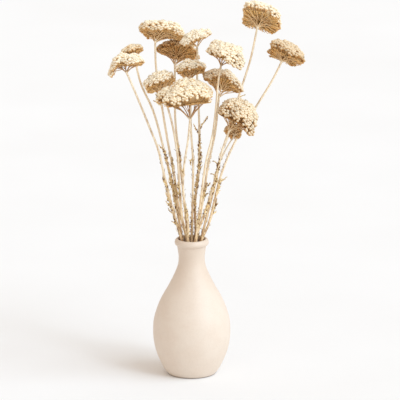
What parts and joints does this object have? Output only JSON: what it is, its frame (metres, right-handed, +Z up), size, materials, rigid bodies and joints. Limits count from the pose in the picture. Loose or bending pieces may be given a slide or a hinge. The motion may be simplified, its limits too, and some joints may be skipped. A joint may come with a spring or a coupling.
{
  "type": "preserved yarrow in vase",
  "caption": "Dried flat-topped yarrow heads on slender stems, spread as a loose bunch in a matte ceramic bottle vase with a rolled lip.",
  "frame": {"origin": "centre of the vase's flat base, on the surface it stands on", "axes": "+Z up along the vase's axis; -Y towards the front, the side that the picture shows; +X to the right seen from the front"},
  "size_m": [0.2821, 0.1572, 0.5434],
  "materials": {
    "ceramic": "matte",
    "dried_stem": "matte",
    "dried_floret": "matte"
  },
  "bodies": {
    "root": {"vase": "ceramic", "yarrow_01_stem": "dried_stem", "yarrow_02_stem": "dried_stem", "yarrow_03_stem": "dried_stem", "yarrow_04_stem": "dried_stem", "yarrow_05_stem": "dried_stem", "yarrow_06_stem": "dried_stem", "yarrow_07_stem": "dried_stem", "yarrow_08_stem": "dried_stem", "yarrow_09_stem": "dried_stem", "yarrow_10_stem": "dried_stem", "yarrow_11_stem": "dried_stem", "yarrow_12_stem": "dried_stem", "yarrow_13_stem": "dried_stem", "yarrow_01_head": "dried_floret", "yarrow_02_head": "dried_floret", "yarrow_03_head": "dried_floret", "yarrow_04_head": "dried_floret", "yarrow_05_head": "dried_floret", "yarrow_06_head": "dried_floret", "yarrow_07_head": "dried_floret", "yarrow_08_head": "dried_floret", "yarrow_09_head": "dried_floret", "yarrow_10_head": "dried_floret", "yarrow_11_head": "dried_floret", "yarrow_12_head": "dried_floret", "yarrow_13_head": "dried_floret", "yarrow_14_head": "dried_floret"}
  },
  "joints": []
}
